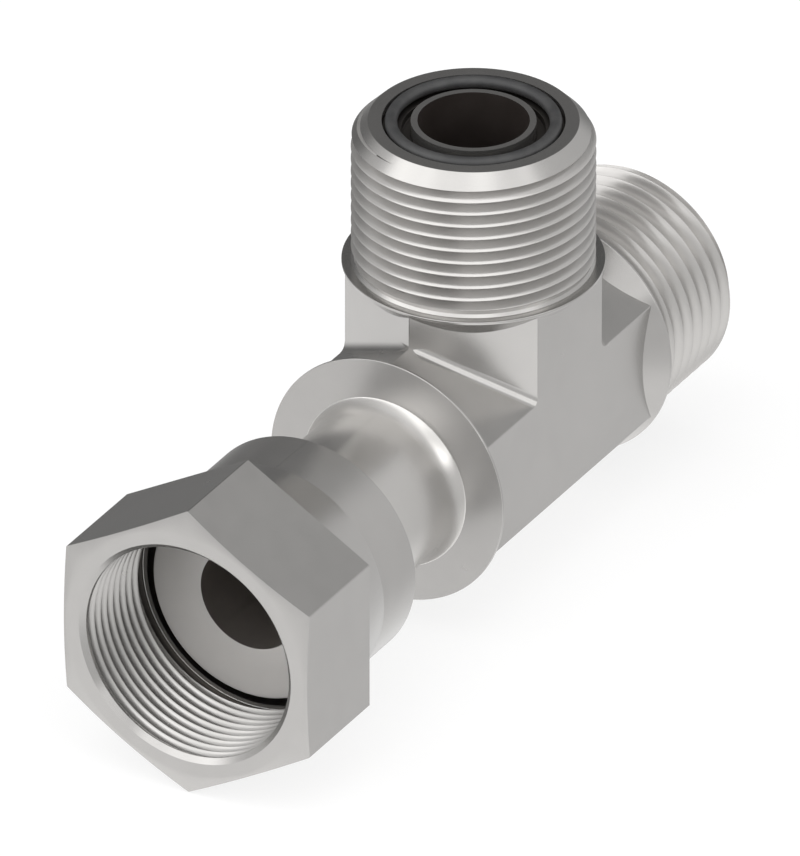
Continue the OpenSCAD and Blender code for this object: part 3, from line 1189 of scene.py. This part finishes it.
@dataclass
class SealRing:
    """A rubber ring lying in the groove of a male face."""

    paints: Paints
    node: str
    arm: Arm
    ring_r: float = 12.2
    cord_r: float = 0.95
    # The ring lies this far above the groove's floor, so that they don't share a surface.
    lift: float = 0.02

    def build(self) -> bpy.types.Object:
        """Builds and dresses the ring, which replaces its construction solid."""
        centre = END_REACH - GROOVE_DEEP + self.cord_r + self.lift
        outline = [
            (
                self.ring_r + self.cord_r * math.cos(2 * math.pi * step / TORUS_STEPS),
                centre + self.cord_r * math.sin(2 * math.pi * step / TORUS_STEPS),
            )
            for step in range(TORUS_STEPS)
        ]
        piece = revolve(f"{self.node}_moulded", outline, self.arm)
        tidy(piece)
        dress(piece, self.paints, (SEAL_RUBBER,), lambda corners, normal: SEAL_RUBBER)
        return piece


@dataclass(frozen=True)
class Patch:
    """A soft patch of the studio's surroundings, round a direction.

    Attributes:
        edge: Cosine of the angle from the direction at which it begins.
        core: Cosine of the angle within which it is whole.
        amount: What it adds to the surroundings' strength.
    """

    toward: tuple[float, float, float]
    edge: float
    core: float
    amount: float


@dataclass(frozen=True)
class Softbox:
    """A wide light over the front, bounded by a plane and by its height, weaker towards the top."""

    across: tuple[float, float, float] = (-0.94, -0.32, -0.11)
    near: tuple[float, float] = (-0.10, 0.08)
    height: tuple[float, float] = (0.20, 0.42)
    taper: tuple[float, float] = (0.50, 0.85)
    low_strength: float = 1.9
    high_strength: float = 1.25


@dataclass
class Studio:
    """Floor, surroundings and camera."""

    floor_z: float = -0.0240
    floor_half: float = 5.0
    floor_colour: tuple[float, float, float, float] = (0.27, 0.27, 0.27, 1.0)
    # Added to the floor where the camera sees it, which brings it up to white.
    floor_glow: float = 0.76
    lens: float = 1500.0
    sensor: float = 36.0
    distance: float = 5.2883
    target: tuple[float, float, float] = (-0.006954, 0.008527, -0.003015)
    azimuth: float = -59.931
    elevation: float = 30.071
    softbox: Softbox = Softbox()
    # Each stands in a direction that some of the surfaces seen in the main view mirror.
    patches: tuple[Patch, ...] = (
        Patch((0.72, 0.68, 0.05), 0.58, 0.90, -0.64),
        Patch((0.75, 0.20, 0.60), 0.78, 0.96, -0.42),
        Patch((0.0, 0.0, 1.0), 0.80, 0.99, 0.15),
        Patch((0.16, 0.79, 0.59), 0.90, 0.98, -0.12),
        Patch((-0.10, 0.25, -0.96), 0.10, 0.75, 0.42),
        Patch((-0.70, -0.40, -0.58), 0.86, 0.97, 0.42),
        Patch((0.20, 0.10, -0.97), 0.80, 0.97, 0.35),
        Patch((-0.50, 0.40, -0.76), 0.93, 0.98, 0.22),
        Patch((-0.52, 0.76, -0.38), 0.93, 0.985, -0.14),
        Patch((-0.59, -0.03, 0.80), 0.95, 0.985, -0.4),
        Patch((-0.69, 0.48, 0.55), 0.95, 0.99, -0.6),
        Patch((-0.20, -0.66, 0.72), 0.94, 0.99, -0.8),
        Patch((-0.42, -0.80, 0.42), 0.93, 0.985, -0.6),
        Patch((-0.70, -0.44, 0.56), 0.93, 0.985, -1.4),
    )
    # Strength of the surroundings without a patch, and the least that the patches leave.
    ambient: float = 0.78
    least: float = 0.1

    def floor(self) -> None:
        """Lays the pale floor, which shows white and keeps a soft shadow."""
        half = self.floor_half
        mesh = bpy.data.meshes.new("floor")
        corners = [(-half, -half), (half, -half), (half, half), (-half, half)]
        mesh.from_pydata([(x, y, self.floor_z) for x, y in corners], [], [(0, 1, 2, 3)])
        floor = bpy.data.objects.new("floor", mesh)
        bpy.context.scene.collection.objects.link(floor)
        floor.visible_glossy = False
        material = bpy.data.materials.new("floor_paper")
        material.use_nodes = True
        graph = Graph(material.node_tree)
        camera_ray = graph.add("ShaderNodeLightPath").outputs["Is Camera Ray"]
        paper = graph.add("ShaderNodeBsdfDiffuse", {"Color": self.floor_colour})
        glow = graph.add("ShaderNodeEmission", {
            "Color": WHITE, "Strength": graph.value("MULTIPLY", camera_ray, self.floor_glow),
        })
        both = graph.add("ShaderNodeAddShader", {0: paper.outputs[0], 1: glow.outputs[0]})
        graph.add("ShaderNodeOutputMaterial", {"Surface": both.outputs[0]})
        mesh.materials.append(material)

    def surroundings(self) -> None:
        """Sets the surroundings: pale below, dark behind, patches and a wide light over the front."""
        world = bpy.data.worlds.new("studio")
        bpy.context.scene.world = world
        world.use_nodes = True
        graph = Graph(world.node_tree)
        toward = graph.add("ShaderNodeTexCoord").outputs["Generated"]
        total: object = self.ambient
        for patch in self.patches:
            nearness = graph.dot(toward, tuple(Vector(patch.toward).normalized()))
            share = graph.span(nearness, patch.edge, patch.core, 0.0, patch.amount)
            total = graph.value("ADD", total, share)
        box = self.softbox
        across = graph.dot(toward, tuple(Vector(box.across).normalized()))
        height = graph.add("ShaderNodeSeparateXYZ", {0: toward}).outputs["Z"]
        light = graph.span(height, *box.taper, box.low_strength, box.high_strength)
        light = graph.value("MULTIPLY", light, graph.span(across, *box.near, 0.0, 1.0))
        light = graph.value("MULTIPLY", light, graph.span(height, *box.height, 0.0, 1.0))
        total = graph.value("MAXIMUM", graph.value("ADD", total, light), self.least)
        camera_ray = graph.add("ShaderNodeLightPath").outputs["Is Camera Ray"]
        shown = graph.add("ShaderNodeMix", {"Factor": camera_ray, 2: total, 3: 1.0}, data_type="FLOAT")
        back = graph.add("ShaderNodeBackground", {"Color": WHITE, "Strength": shown.outputs[0]})
        graph.add("ShaderNodeOutputWorld", {"Surface": back.outputs[0]})

    def camera(self) -> None:
        """Places the camera of the main view."""
        data = bpy.data.cameras.new("main_camera")
        data.lens = self.lens
        data.sensor_width = self.sensor
        azimuth, elevation = math.radians(self.azimuth), math.radians(self.elevation)
        level = math.cos(elevation)
        toward = Vector((math.sin(azimuth) * level, -math.cos(azimuth) * level, math.sin(elevation)))
        data.clip_start, data.clip_end = 0.1, self.distance + 20.0
        camera = bpy.data.objects.new("main_camera", data)
        camera.location = Vector(self.target) + toward * self.distance
        camera.rotation_mode = "QUATERNION"
        camera.rotation_quaternion = (-toward).to_track_quat("-Z", "Y")
        bpy.context.scene.collection.objects.link(camera)
        bpy.context.scene.camera = camera

    def build(self) -> None:
        """Sets up the whole studio."""
        self.camera()
        self.floor()
        self.surroundings()
        bpy.context.scene.view_settings.view_transform = "Standard"


def main() -> None:
    """Builds the studio and every piece."""
    logging.basicConfig(level=logging.INFO, format="%(message)s")
    Studio().build()
    paints = Paints()
    pieces = (
        (TeeBody(paints), "tee", "body_steel"),
        (SealSleeve(paints), "tee", "sleeve_steel"),
        (SwivelNut(paints), "nut", "nut_steel"),
        (SealRing(paints, "branch_o_ring", Arm.BRANCH), "tee", "seal_rubber"),
        (SealRing(paints, "run_o_ring", Arm.RUN), "tee", "seal_rubber"),
    )
    for maker, body, slot in pieces:
        piece = maker.build()
        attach(piece, body)
        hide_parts(maker.node)
        LOG.info("%s: %d faces", piece.name, len(piece.data.polygons))


if __name__ == "__main__":
    main()
